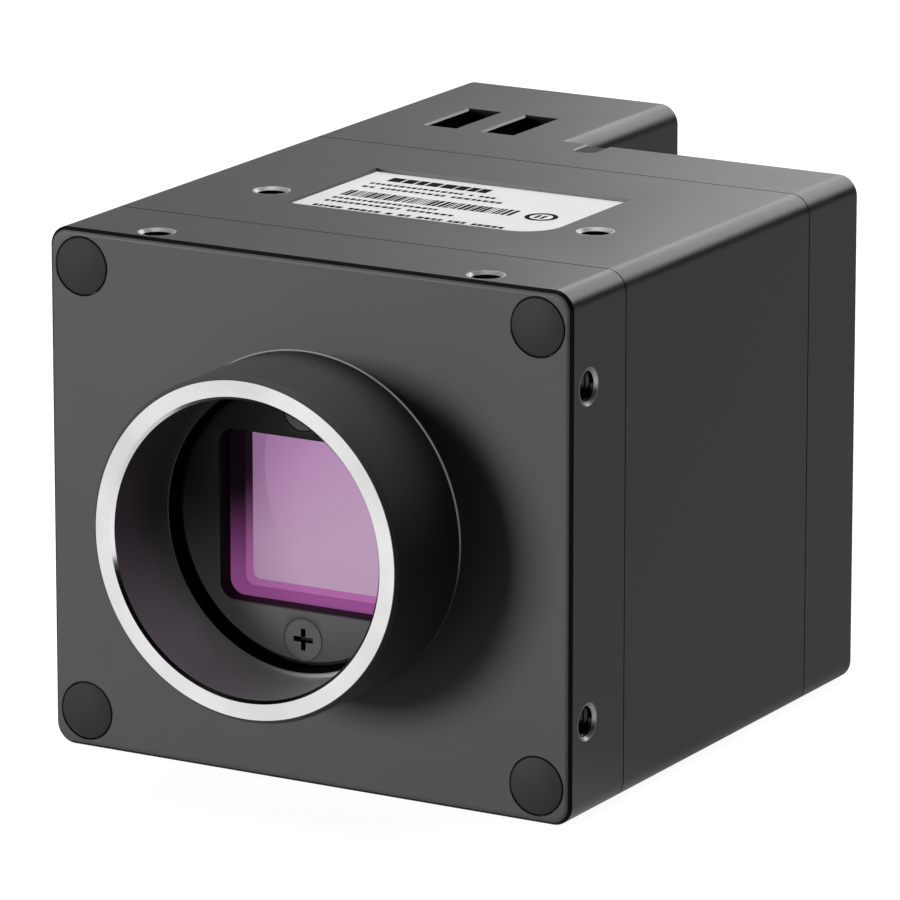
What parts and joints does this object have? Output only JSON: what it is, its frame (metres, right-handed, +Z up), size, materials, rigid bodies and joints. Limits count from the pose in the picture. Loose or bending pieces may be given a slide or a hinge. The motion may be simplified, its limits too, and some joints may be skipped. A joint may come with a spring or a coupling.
{
  "type": "machine vision camera",
  "caption": "Box-shaped machine vision camera with a short threaded lens barrel in front, tapped mounting holes on its faces and a rear block holding the network socket.",
  "frame": {"origin": "centre of the lens barrel mouth, on the axis of the lens thread", "axes": "+Z up, +X to the right of somebody facing the lens, +Y from the lens towards the back"},
  "size_m": [0.08, 0.1265, 0.072],
  "materials": {
    "anodised_body": "fine matt black anodising",
    "barrel_black": "satin black with a bare turned mouth",
    "mask_black": "matt black",
    "screw_black": "black oxide",
    "filter_glass": "purple coated glass",
    "cover_glass": "clear glass",
    "package_dark": "dark moulded package",
    "sensor_surface": "iridescent purple",
    "circuit_board": "green solder mask",
    "plated_steel": "zinc plated",
    "connector_plastic": "cream moulded plastic",
    "chip_black": "moulded black",
    "pad_grey": "soft grey silicone",
    "bare_aluminium": "machined",
    "ribbon_white": "thin white film",
    "shield_steel": "bright pressed sheet",
    "jack_black": "moulded black",
    "gold_contact": "gold plated",
    "nickel_shell": "nickel plated",
    "light_lens": "frosted light pipe",
    "plug_black": "matt black moulded plug",
    "seal_rubber": "matt rubber",
    "label_silver": "satin silver foil"
  },
  "bodies": {
    "root": {"front_housing": "anodised_body", "middle_housing": "anodised_body", "rear_housing": "anodised_body", "lens_mount_barrel": "barrel_black", "sensor_mask_plate": "mask_black", "mask_plate_screws": "screw_black", "filter_holder": "mask_black", "filter_glass": "filter_glass", "sensor_cover_glass": "cover_glass", "sensor_package": "package_dark", "image_sensor": "sensor_surface", "sensor_board": "circuit_board", "main_board": "circuit_board", "network_board": "circuit_board", "port_board": "circuit_board", "sensor_board_spacers": "plated_steel", "front_board_pillars": "plated_steel", "rear_board_pillars": "plated_steel", "board_screws": "plated_steel", "assembly_screws": "plated_steel", "sensor_board_plug": "connector_plastic", "main_board_socket": "connector_plastic", "memory_chips": "chip_black", "processor": "chip_black", "network_chip": "chip_black", "thermal_pad": "pad_grey", "heat_spreader": "bare_aluminium", "ribbon_connectors": "connector_plastic", "ribbon_cable": "ribbon_white", "port_link_header": "connector_plastic", "jack_shield": "shield_steel", "jack_housing": "jack_black", "jack_contacts": "gold_contact", "receptacle_shell": "nickel_shell", "receptacle_nut": "nickel_shell", "receptacle_insert": "jack_black", "receptacle_pins": "gold_contact", "status_light": "light_lens", "corner_plugs": "plug_black", "front_seal": "seal_rubber", "rear_seal": "seal_rubber", "label_plate": "label_silver"}
  },
  "joints": []
}
